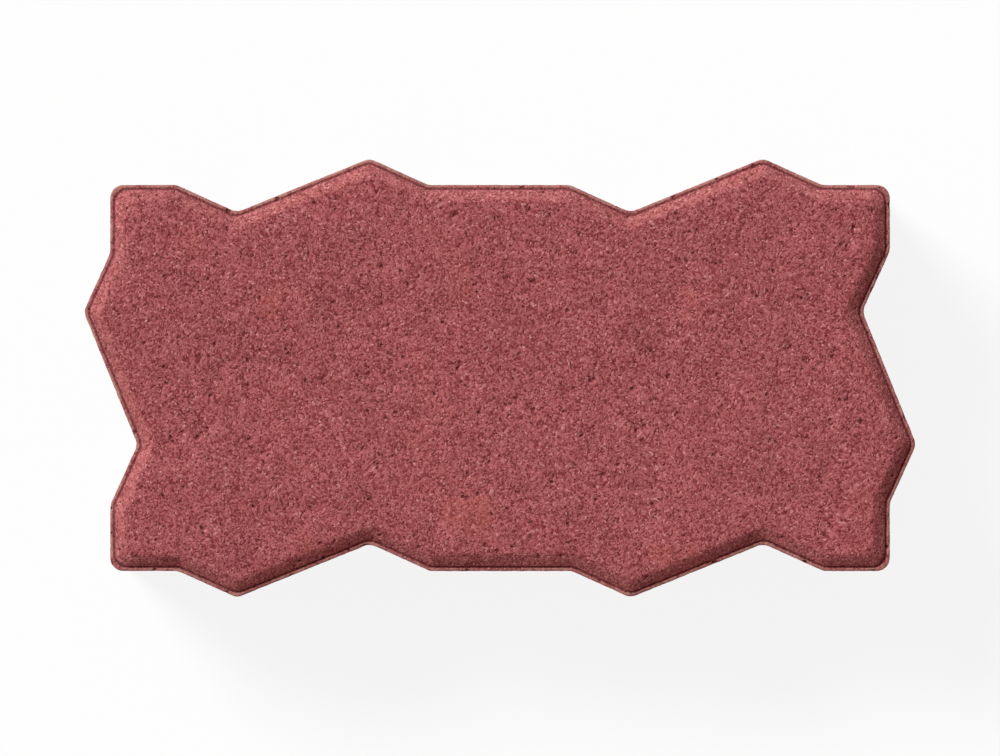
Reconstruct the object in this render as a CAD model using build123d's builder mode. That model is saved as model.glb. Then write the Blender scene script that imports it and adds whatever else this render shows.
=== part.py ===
"""Interlocking concrete paving stone with a zigzag outline, in millimetres.

The stone lies on its bed face at Z = 0 with its wearing face up. The origin is the
centre of the bed face, and X runs along the stone.
"""

import os

from build123d import *

# Laying grid: a stone fills two squares of it, with half a joint all round
GRID = 112.5
SQUARES_ALONG = 2
JOINT = 1.6

# Each side of a grid square is a flat, a notch, a lobe and a flat
END_FLAT = 20.25
APEX_SETBACK = 37.25
ZIGZAG_DEPTH = 7.7

# The stone above its bed
THICKNESS = 60.0
UPRIGHT_EDGE_RADIUS = 4.0

# Bevel round the wearing face, with a level rim between its foot and the walls
RIM_WIDTH = 1.0
BEVEL_WIDTH = 3.8
BEVEL_DROP = 3.0
CREST_RADIUS = 2.0
ARRIS_RADIUS = 0.5


def zigzag_side(start, heading):
    """The four turning points of one grid side, which runs from start at heading degrees."""
    along = Vector(1, 0).rotate(Axis.Z, heading)
    outward = along.rotate(Axis.Z, 90)
    bends = (
        (END_FLAT, 0),
        (APEX_SETBACK, -ZIGZAG_DEPTH),
        (GRID - APEX_SETBACK, ZIGZAG_DEPTH),
        (GRID - END_FLAT, 0),
    )
    return [start + along * run + outward * reach for run, reach in bends]


def joint_line():
    """The closed line midway between this stone and its neighbours, clockwise from the upper left."""
    corner = Vector(-SQUARES_ALONG * GRID / 2, GRID / 2)
    points = []
    for heading, squares in ((0, SQUARES_ALONG), (-90, 1), (180, SQUARES_ALONG), (90, 1)):
        step = Vector(GRID, 0).rotate(Axis.Z, heading)
        points.append(corner)
        for _ in range(squares):
            points += zigzag_side(corner, heading)
            corner = corner + step
    return points


def outline_face(height, inset):
    """The stone's outline at a height, set in from the joint line, with its corners rounded."""
    with BuildSketch(Plane.XY.offset(height)) as outline:
        with BuildLine():
            Polyline(*joint_line(), close=True)
        make_face()
        offset(amount=-inset, kind=Kind.INTERSECTION)
        fillet(outline.vertices(), UPRIGHT_EDGE_RADIUS)
    return outline.sketch.face()


wall_inset = JOINT / 2
foot_inset = wall_inset + RIM_WIDTH
crest_inset = foot_inset + BEVEL_WIDTH
wall_height = THICKNESS - BEVEL_DROP

with BuildPart() as paving_stone:
    # The walls stand plumb, as they leave the mould, and their upper edge is eased
    extrude(outline_face(0, wall_inset), amount=wall_height)
    arris = paving_stone.edges().group_by(Axis.Z)[-1]
    fillet(arris, ARRIS_RADIUS)

    # The bevel leans in from the rim to the wearing face, and its crest is eased
    bevel_foot = outline_face(wall_height, foot_inset)
    wearing_face = outline_face(THICKNESS, crest_inset)
    loft(sections=[bevel_foot, wearing_face], ruled=True)
    crest = paving_stone.edges().group_by(Axis.Z)[-1]
    fillet(crest, CREST_RADIUS)

paving_stone.part.label = "paving_stone"

os.makedirs("parts", exist_ok=True)
export_step(paving_stone.part, "parts/paving_stone.step")
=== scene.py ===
"""Looks of the zigzag paving stone: pressed concrete, coloured red right through.

Places and sizes in the relief, on the bake sheet and in the finish are in millimetres
of the stone. Everything else is in metres, as the frame is.
"""

import math

import bmesh
import bpy
from mathutils import Color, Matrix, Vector


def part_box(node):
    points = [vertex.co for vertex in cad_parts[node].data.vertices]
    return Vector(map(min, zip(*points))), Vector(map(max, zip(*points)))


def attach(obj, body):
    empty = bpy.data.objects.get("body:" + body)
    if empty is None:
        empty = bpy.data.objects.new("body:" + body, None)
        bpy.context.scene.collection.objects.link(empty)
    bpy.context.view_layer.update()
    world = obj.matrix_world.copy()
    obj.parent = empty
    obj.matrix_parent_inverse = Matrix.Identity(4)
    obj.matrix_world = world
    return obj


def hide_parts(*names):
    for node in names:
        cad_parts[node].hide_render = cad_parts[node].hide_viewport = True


MM = 0.001

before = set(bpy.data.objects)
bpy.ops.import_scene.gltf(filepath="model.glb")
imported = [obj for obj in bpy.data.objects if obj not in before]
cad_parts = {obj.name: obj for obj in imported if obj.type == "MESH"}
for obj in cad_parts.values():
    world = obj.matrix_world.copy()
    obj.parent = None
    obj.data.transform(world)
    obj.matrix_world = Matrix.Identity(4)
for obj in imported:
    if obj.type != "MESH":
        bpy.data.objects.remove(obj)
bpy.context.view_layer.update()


# Shader and geometry maths, written as expressions

NOISE_MEAN = 0.5

# Sockets of a Mix node: its factor, its two colours, and the mixed colour
FACTOR = 0
FIRST_COLOUR = 6
SECOND_COLOUR = 7
MIXED_COLOUR = 2


class Value:
    """A node's output. An operator on it adds the Math node that works the sum out."""

    def __init__(self, nodes, socket):
        self.nodes = nodes
        self.socket = socket

    def maths(self, operation, *values):
        return self.nodes.add("ShaderNodeMath", {"operation": operation}, dict(enumerate(values)))

    def __add__(self, other):
        return self.maths("ADD", self, other)

    def __sub__(self, other):
        return self.maths("SUBTRACT", self, other)

    def __rsub__(self, other):
        return self.maths("SUBTRACT", other, self)

    def __mul__(self, other):
        return self.maths("MULTIPLY", self, other)

    __radd__ = __add__
    __rmul__ = __mul__

    def rise(self, low, high):
        """Climbs smoothly from 0 at low to 1 at high, or falls where high is the lower."""
        settings = {"interpolation_type": "SMOOTHSTEP"}
        span = {"Value": self, "From Min": low, "From Max": high}
        return self.nodes.add("ShaderNodeMapRange", settings, span)

    def also(self, name):
        """Another output of the same node."""
        return Value(self.nodes, self.socket.node.outputs[name])

    def part(self, name):
        """One component of a vector."""
        return self.nodes.add("ShaderNodeSeparateXYZ", None, {"Vector": self}, name)

    def vector(self, operation, other, output="Vector"):
        """Vector maths with another vector."""
        settings = {"operation": operation}
        return self.nodes.add("ShaderNodeVectorMath", settings, {0: self, 1: other}, output)

    def scaled(self, factor):
        """A vector made longer, or a colour made brighter."""
        settings = {"operation": "SCALE"}
        inputs = {"Vector": self, "Scale": factor}
        return self.nodes.add("ShaderNodeVectorMath", settings, inputs, "Vector")

    def stained(self, stain, mask, strength):
        """This colour with a stain over it, at the given strength where the mask is 1."""
        return self.nodes.mix(mask * strength, self, stain)


class Nodes:
    """A node tree, of a material or of a modifier, that is written as expressions."""

    def __init__(self, tree):
        self.tree = tree

    def add(self, kind, settings=None, inputs=None, output=0):
        """Makes a node, sets it, gives its inputs their values or links, and returns one output."""
        node = self.tree.nodes.new(kind)
        for name, value in (settings or {}).items():
            setattr(node, name, value)
        for name, value in (inputs or {}).items():
            if isinstance(value, Value):
                self.tree.links.new(value.socket, node.inputs[name])
            else:
                node.inputs[name].default_value = value
        return Value(self, node.outputs[output]) if node.outputs else None

    def noise(self, place, size, detail=1.0, roughness=0.5, output=0):
        """Soft noise about its mean, with features of a size in millimetres."""
        inputs = {"Vector": place, "Scale": 1 / size, "Detail": detail, "Roughness": roughness}
        return self.add("ShaderNodeTexNoise", None, inputs, output)

    def cells(self, place, size, output):
        """Cells of a size in millimetres: each one's middle or random colour, or how far it is."""
        inputs = {"Vector": place, "Scale": 1 / size}
        return self.add("ShaderNodeTexVoronoi", None, inputs, output)

    def chance(self, place):
        """A random number from 0 to 1 that is the same wherever place is the same."""
        return self.add("ShaderNodeTexWhiteNoise", None, {"Vector": place}, "Value")

    def mix(self, factor, first, second):
        """The first colour where factor is 0, and the second where it is 1."""
        inputs = {FACTOR: factor, FIRST_COLOUR: first, SECOND_COLOUR: second}
        return self.add("ShaderNodeMix", {"data_type": "RGBA"}, inputs, MIXED_COLOUR)


def paint(red, green, blue):
    """A colour as it is seen, from 0 to 255 a channel, as Blender's linear values."""
    seen = Color((red / 255, green / 255, blue / 255))
    return [*seen.from_srgb_to_scene_linear(), 1.0]


# Relief of the stone: where its faces are, and how each was formed

CAST_PLACE = "cast_place"
RIM_LEVEL = 57.0
FACE_LEVEL = 60.0
SAME_POINT = 0.001
FINE_MESH = 0.35
MOST_TRIANGLES = 190000

# Heights between which one face gives way to the next, from where it counts 0 to where it counts 1
TOP_BEGINS = (RIM_LEVEL - 0.8, RIM_LEVEL + 0.4)
BEVEL_BEGINS = (RIM_LEVEL + 0.1, RIM_LEVEL + 0.6)
BEVEL_ENDS = (FACE_LEVEL, FACE_LEVEL - 0.6)
RIM_BEGINS = (RIM_LEVEL - 1.0, RIM_LEVEL - 0.4)
RIM_ENDS = (RIM_LEVEL + 0.14, RIM_LEVEL + 0.04)
GROOVE_BEGINS = (RIM_LEVEL + 0.03, RIM_LEVEL + 0.13)
GROOVE_ENDS = (RIM_LEVEL + 0.6, RIM_LEVEL + 0.3)
FOOT_ENDS = (4.0, 0.0)
BED_ENDS = (0.9, 0.1)

# The rim starts up to half of this higher or lower, in stretches of this size
RIM_WANDER = 1.4
RIM_WANDER_SIZE = 1.6

# Sizes of the cell that a pore is in, of the bends in its outline, and of its edge
PORE_SPACING = 2.0
PORE_RAG_SIZE = 1.3
PORE_EDGE = 0.3

# Marks up the walls are noise, drawn out to twenty-five times its height
DRAWN_OUT = (1.0, 1.0, 0.04)

# Sizes and depths of the relief
LEAST_DEPTH = 0.06
SWELL_SIZE = 24.0
SWELL_DEPTH = 0.1
MARK_SIZE = 2.2
MARK_DEPTH = 0.3
GROOVE_DEPTH = 0.25
CRUMB_SIZE = 2.6
CRUMBS_BEGIN = (0.5, 0.72)
RIM_LOSS = 0.22
FOOT_LOSS = 0.7
BED_LOSS = 0.2


def ragged(nodes, place, size, amount):
    """Places pushed about, so that what is drawn on them has no smooth outline."""
    push = nodes.noise(place, size, detail=0.0, output="Color")
    push = push.vector("SUBTRACT", (NOISE_MEAN, NOISE_MEAN, NOISE_MEAN))
    return place.vector("ADD", push.scaled(amount))


class Zones:
    """How far a place belongs to each face of the stone, from 0 to 1."""

    def __init__(self, place):
        height = place.part("Z")
        wander = place.nodes.noise(place, RIM_WANDER_SIZE) - NOISE_MEAN
        uneven = height + RIM_WANDER * wander
        self.top = height.rise(*TOP_BEGINS)
        self.bevel = height.rise(*BEVEL_BEGINS) * height.rise(*BEVEL_ENDS)
        self.rim = uneven.rise(*RIM_BEGINS) * height.rise(*RIM_ENDS)
        self.groove = height.rise(*GROOVE_BEGINS) * height.rise(*GROOVE_ENDS)
        self.foot = height.rise(*FOOT_ENDS)
        self.bed = height.rise(*BED_ENDS)
        self.wall = (1 - self.top) * (1 - self.bed)

    def either(self, top, elsewhere):
        """One number on the pressed top, and another on the walls and the bed."""
        return elsewhere - (elsewhere - top) * self.top


def pores(nodes, place, zones):
    """How deep a place is in an open pore, from 0 on the sound surface to 1 well inside one.

    The pressed top has many small pores. The walls and the bed have fewer, but larger ones.
    """
    loose = ragged(nodes, place, PORE_RAG_SIZE, zones.either(top=0.8, elsewhere=1.6))
    middle = nodes.cells(loose, PORE_SPACING, "Position")
    distance = loose.vector("DISTANCE", middle, "Value")
    luck = nodes.chance(middle) - zones.either(top=0.65, elsewhere=0.88)
    reach = luck * zones.either(top=1.9, elsewhere=9.0)
    return (reach - distance).rise(0.0, PORE_EDGE)


def drawn_up(nodes, place, size):
    """Marks that run up the walls, from when the stone was pushed out of its mould."""
    return nodes.noise(place.vector("MULTIPLY", DRAWN_OUT), size)


def relief(nodes, place, zones):
    """Depth in millimetres that the surface lies under the mould's."""
    swell = nodes.noise(place, SWELL_SIZE)
    marks = drawn_up(nodes, place, MARK_SIZE)
    crumbs = nodes.noise(place, CRUMB_SIZE, detail=2.0, roughness=0.6).rise(*CRUMBS_BEGIN)

    depth = LEAST_DEPTH + SWELL_DEPTH * swell + MARK_DEPTH * zones.wall * marks
    depth = depth + pores(nodes, place, zones) * zones.either(top=0.4, elsewhere=0.95)
    depth = depth + GROOVE_DEPTH * zones.groove
    return depth + crumbs * (RIM_LOSS * zones.rim + FOOT_LOSS * zones.foot + BED_LOSS * zones.bed)


def weathering():
    """The modifier's tree that sinks the relief into the stone and keeps where each point was."""
    tree = bpy.data.node_groups.new("weathering", "GeometryNodeTree")
    tree.interface.new_socket("Geometry", in_out="INPUT", socket_type="NodeSocketGeometry")
    tree.interface.new_socket("Geometry", in_out="OUTPUT", socket_type="NodeSocketGeometry")
    nodes = Nodes(tree)
    place = nodes.add("GeometryNodeInputPosition").scaled(1 / MM)
    depth = relief(nodes, place, Zones(place))
    inward = nodes.add("GeometryNodeInputNormal").scaled(depth * -MM)
    shape = nodes.add("NodeGroupInput")
    shape = nodes.add(
        "GeometryNodeStoreNamedAttribute",
        {"data_type": "FLOAT_VECTOR", "domain": "POINT"},
        {"Geometry": shape, "Name": CAST_PLACE, "Value": place},
    )
    shape = nodes.add("GeometryNodeSetPosition", None, {"Geometry": shape, "Offset": inward})
    nodes.add("NodeGroupOutput", None, {"Geometry": shape})
    return tree


def applied(thing):
    """A new mesh of an object as its modifiers leave it."""
    bpy.context.view_layer.update()
    evaluated = thing.evaluated_get(bpy.context.evaluated_depsgraph_get())
    return bpy.data.meshes.new_from_object(evaluated)


def cast_stone(node):
    """The stone's own mesh: the CAD node's shape, with its relief sunk into it."""
    shell = bmesh.new()
    shell.from_mesh(node.data)
    bmesh.ops.remove_doubles(shell, verts=shell.verts, dist=SAME_POINT * MM)
    bmesh.ops.recalc_face_normals(shell, faces=shell.faces)
    mesh = bpy.data.meshes.new("cast_stone")
    shell.to_mesh(mesh)
    shell.free()
    stone = bpy.data.objects.new("cast_stone", mesh)
    bpy.context.scene.collection.objects.link(stone)

    fine = stone.modifiers.new("fine_mesh", "REMESH")
    fine.mode = "VOXEL"
    fine.voxel_size = FINE_MESH * MM
    stone.modifiers.new("relief", "NODES").node_group = weathering()
    stone.data = applied(stone)
    stone.modifiers.clear()

    # The remesh leaves squares, of two triangles each
    thin = stone.modifiers.new("thin_mesh", "DECIMATE")
    thin.ratio = MOST_TRIANGLES / (2 * len(stone.data.polygons))
    stone.data = applied(stone)
    stone.modifiers.clear()
    stone.data.shade_smooth()
    return stone


# The sheet that the finish is baked to: a square with the top enlarged and the bed reduced

SHEET = 368.0
GAP = 4.0
HALF_LENGTH = 119.0
HALF_WIDTH = 63.0
TOP_SCALE = 1.25
BED_SCALE = 0.6
BELOW_TOP = GAP + 2 * HALF_WIDTH * TOP_SCALE
BESIDE_TOP = GAP + 2 * HALF_LENGTH * TOP_SCALE

# Where one side of the stone ends and the next begins
TOP_FROM = RIM_LEVEL - 0.3
BED_UP_TO = 0.15
CORNER_ALONG = 112.5
CORNER_ACROSS = 56.25


def side_of_stone(place):
    """Which side a place belongs to, from the upright corners of the laying grid."""
    if place.z > TOP_FROM:
        return "top"
    if place.z < BED_UP_TO:
        return "bed"
    if abs(place.x) - CORNER_ALONG > abs(place.y) - CORNER_ACROSS:
        return "right" if place.x > 0 else "left"
    return "back" if place.y > 0 else "front"


def place_on_sheet(side, place):
    """Where a point of the stone is drawn on the sheet."""
    along = place.x + HALF_LENGTH
    across = place.y + HALF_WIDTH
    spots = {
        "top": (along * TOP_SCALE, across * TOP_SCALE),
        "right": (BESIDE_TOP + place.z, across),
        "left": (BESIDE_TOP + place.z, across + 2 * HALF_WIDTH + GAP),
        "front": (along, BELOW_TOP + place.z),
        "back": (along, BELOW_TOP + place.z + FACE_LEVEL + GAP),
        "bed": (along * BED_SCALE, BELOW_TOP + 2 * (FACE_LEVEL + GAP) + across * BED_SCALE),
    }
    return [(spot + GAP / 2) / SHEET for spot in spots[side]]


def add_bake_map(stone):
    """Lays each side of the stone flat on the sheet, from where its points were before the relief."""
    points = [Vector(item.vector) for item in stone.data.attributes[CAST_PLACE].data]
    sheet = stone.data.uv_layers.new(name="OFBake")
    for face in stone.data.polygons:
        middle = sum((points[corner] for corner in face.vertices), Vector()) / len(face.vertices)
        side = side_of_stone(middle)
        for loop, corner in zip(face.loop_indices, face.vertices):
            sheet.uv[loop].vector = place_on_sheet(side, points[corner])


# Finish of the stone

DARK_CEMENT = paint(125, 47, 49)
PALE_CEMENT = paint(183, 104, 106)
WARM_CEMENT = paint(172, 92, 74)
DARK_SAND = paint(92, 30, 34)
PALE_SAND = paint(208, 140, 138)
# Pale paint for the rim, partly wear and partly a painted highlight, and for the bevel's painted sheen
WEAR_AND_HIGHLIGHT_PAINT = paint(176, 122, 112)
# Painted shade for the groove behind the rim
GROOVE_SHADE_PAINT = paint(78, 22, 28)
# Painted shade for the inside of the pores
PORE_SHADE_PAINT = paint(96, 36, 40)

# Sizes in the finish, and how far the outlines of the grains are pushed about
DUST_SIZE = 0.3
GRAIN_SIZE = 0.5
GRAIN_RAG_SIZE = 0.7
GRAIN_RAG = 0.4
FINE_MARK_SIZE = 0.9
WEAR_SIZE = 5.0
PATCH_SIZE = 30.0

# Where each begins and where it is full, on its noise's or its chance's scale from 0 to 1
WEAR_BEGINS = (0.38, 0.62)
WARMTH_BEGINS = (0.56, 0.74)
DARK_SAND_BEGINS = (0.1, 0.08)
PALE_SAND_BEGINS = (0.95, 0.97)

# How pale the rim is painted, partly as wear and partly as a painted highlight, what patches and pale
# grains add to that, and how much painted sheen the bevel gets
RIM_PALENESS = 0.1
PATCHY_PALENESS = 0.5
GRAINY_PALENESS = 0.4
BEVEL_SHEEN_PAINT = 0.1

# Brightness everywhere, and what the bevel's painted sheen, the dust and the patches add to it
BRIGHTNESS = 0.873
BEVEL_SHEEN_BRIGHTER = 0.07
DUST_BRIGHTER = 0.34
PATCH_BRIGHTER = 0.3

# Heights and depths of the bump
DUST_HEIGHT = 0.1
GRAIN_HEIGHT = 0.12
FINE_MARK_HEIGHT = 0.25
PIT_BUMP_DEPTH = 0.2
GROOVE_BUMP_DEPTH = 0.12

# Roughness of the cement, how much smoother pale sand and the worn rim are, and the stone's gloss
CEMENT_ROUGHNESS = 0.93
SAND_SMOOTHER = 0.2
RIM_SMOOTHER = 0.1
GLOSS = 0.15


def red_concrete():
    """Sand in red cement: grainy, with pores darkened by painted shade, a rim painted pale partly as
    wear and partly as a painted highlight, painted shade in the groove behind it, and a bevel painted
    paler and brighter as painted sheen.
    """
    material = bpy.data.materials.new("red_concrete")
    material.use_nodes = True
    material.node_tree.nodes.clear()
    nodes = Nodes(material.node_tree)
    place = nodes.add("ShaderNodeAttribute", {"attribute_name": CAST_PLACE}, None, "Vector")
    zones = Zones(place)
    pit = pores(nodes, place, zones)
    dust = nodes.noise(place, DUST_SIZE)
    patch = nodes.noise(place, PATCH_SIZE, detail=4.0, roughness=0.68)
    worn = nodes.noise(place, WEAR_SIZE, detail=2.0).rise(*WEAR_BEGINS)
    fine_marks = drawn_up(nodes, place, FINE_MARK_SIZE)

    # Each grain has its own shade, and some are pale or dark sand
    grain = nodes.cells(ragged(nodes, place, GRAIN_RAG_SIZE, GRAIN_RAG), GRAIN_SIZE, "Color")
    shade = grain.part("X")
    kind = grain.part("Y")
    pale_sand = kind.rise(*PALE_SAND_BEGINS)
    dark_sand = kind.rise(*DARK_SAND_BEGINS)

    colour = nodes.mix(shade, DARK_CEMENT, PALE_CEMENT)
    colour = colour.stained(PALE_SAND, mask=pale_sand, strength=0.7)
    colour = colour.stained(DARK_SAND, mask=dark_sand, strength=0.8)
    colour = colour.stained(WARM_CEMENT, mask=patch.rise(*WARMTH_BEGINS), strength=0.3)
    # The rim is painted pale, partly as wear and partly as a painted highlight, and the bevel a little
    # paler as painted sheen
    rim_wear_and_highlight = zones.rim * (RIM_PALENESS + PATCHY_PALENESS * worn + GRAINY_PALENESS * shade)
    colour = nodes.mix(rim_wear_and_highlight + BEVEL_SHEEN_PAINT * zones.bevel, colour, WEAR_AND_HIGHLIGHT_PAINT)
    # The bevel is painted brighter, as painted sheen
    brightness = BRIGHTNESS + BEVEL_SHEEN_BRIGHTER * zones.bevel
    brightness = brightness + DUST_BRIGHTER * (dust - NOISE_MEAN) + PATCH_BRIGHTER * patch
    colour = colour.scaled(brightness)
    # Painted shade in the groove behind the rim
    colour = colour.stained(GROOVE_SHADE_PAINT, mask=zones.groove, strength=0.6)
    # Painted shade darkens the inside of the pores
    colour = colour.stained(PORE_SHADE_PAINT, mask=pit, strength=0.75)

    height = DUST_HEIGHT * dust - GRAIN_HEIGHT * grain.also("Distance") - PIT_BUMP_DEPTH * pit
    height = height + FINE_MARK_HEIGHT * zones.wall * fine_marks - GROOVE_BUMP_DEPTH * zones.groove
    bump = nodes.add("ShaderNodeBump", None, {"Distance": MM, "Height": height})
    roughness = CEMENT_ROUGHNESS - SAND_SMOOTHER * pale_sand - RIM_SMOOTHER * zones.rim * worn
    look = {"Base Color": colour, "Roughness": roughness, "Normal": bump, "Specular IOR Level": GLOSS}
    surface = nodes.add("ShaderNodeBsdfPrincipled", None, look)
    nodes.add("ShaderNodeOutputMaterial", None, {"Surface": surface})
    return material


# The floor, the light and the camera

WHITE = (1.0, 1.0, 1.0, 1.0)
FILL = (0.24, 0.145, 0.145, 1.0)
KEY_ELEVATION = math.radians(40)
KEY_SOFTNESS = math.radians(24)
FLOOR_PAINT = paint(244, 244, 244)
FLOOR_HALF = 3.0
FLOOR_GLOW = 0.88
CAMERA_DISTANCE = 2.5

# The picture's width, in lengths of the stone
PICTURE_WIDTH = 1.2


def white_floor():
    """A white floor that keeps the stone's shadow, lightened where the camera sees it."""
    sheet = bmesh.new()
    bmesh.ops.create_grid(sheet, x_segments=1, y_segments=1, size=FLOOR_HALF)
    mesh = bpy.data.meshes.new("floor")
    sheet.to_mesh(mesh)
    sheet.free()
    floor = bpy.data.objects.new("floor", mesh)
    bpy.context.scene.collection.objects.link(floor)

    material = bpy.data.materials.new("floor")
    material.use_nodes = True
    material.node_tree.nodes.clear()
    nodes = Nodes(material.node_tree)
    matt = nodes.add("ShaderNodeBsdfDiffuse", None, {"Color": FLOOR_PAINT})
    glow = nodes.add("ShaderNodeEmission", None, {"Color": WHITE})
    seen = nodes.add("ShaderNodeLightPath", None, None, "Is Camera Ray")
    surface = nodes.add("ShaderNodeMixShader", None, {0: seen * FLOOR_GLOW, 1: matt, 2: glow})
    nodes.add("ShaderNodeOutputMaterial", None, {"Surface": surface})
    floor.data.materials.append(material)


def daylight():
    """A soft key light from the upper left over an even fill, which add up to white on a level face."""
    world = bpy.data.worlds.new("studio")
    bpy.context.scene.world = world
    world.use_nodes = True
    world.node_tree.nodes.clear()
    nodes = Nodes(world.node_tree)

    # The matt stone mirrors nothing, so the white is for the camera alone
    seen = nodes.add("ShaderNodeLightPath", None, None, "Is Camera Ray")
    sky = nodes.add("ShaderNodeBackground", None, {"Color": nodes.mix(seen, FILL, WHITE)})
    nodes.add("ShaderNodeOutputWorld", None, {"Surface": sky})

    lamp = bpy.data.lights.new("key", "SUN")
    lamp.energy = math.pi / math.sin(KEY_ELEVATION)
    lamp.color = [white - fill for white, fill in zip(WHITE[:3], FILL[:3])]
    lamp.angle = KEY_SOFTNESS
    key = bpy.data.objects.new("key", lamp)
    level = math.cos(KEY_ELEVATION) / math.sqrt(2)
    towards = Vector((-level, level, math.sin(KEY_ELEVATION)))
    key.rotation_euler = towards.to_track_quat("Z", "Y").to_euler()
    bpy.context.scene.collection.objects.link(key)


def camera_above(low, high):
    """A long lens straight over the stone, as the photograph was taken."""
    sight = bpy.data.cameras.new("camera")
    camera = bpy.data.objects.new("camera", sight)
    picture_width = PICTURE_WIDTH * (high.x - low.x)
    sight.lens = sight.sensor_width * CAMERA_DISTANCE / picture_width
    middle = (low + high) / 2
    camera.location = (middle.x, middle.y, high.z + CAMERA_DISTANCE)
    bpy.context.scene.collection.objects.link(camera)
    bpy.context.scene.camera = camera


camera_above(*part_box("paving_stone"))
white_floor()
daylight()

stone = cast_stone(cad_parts["paving_stone"])
add_bake_map(stone)
stone.data.materials.clear()
stone.data.materials.append(red_concrete())
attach(stone, "root")
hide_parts("paving_stone")

bpy.context.scene.view_settings.view_transform = "Standard"
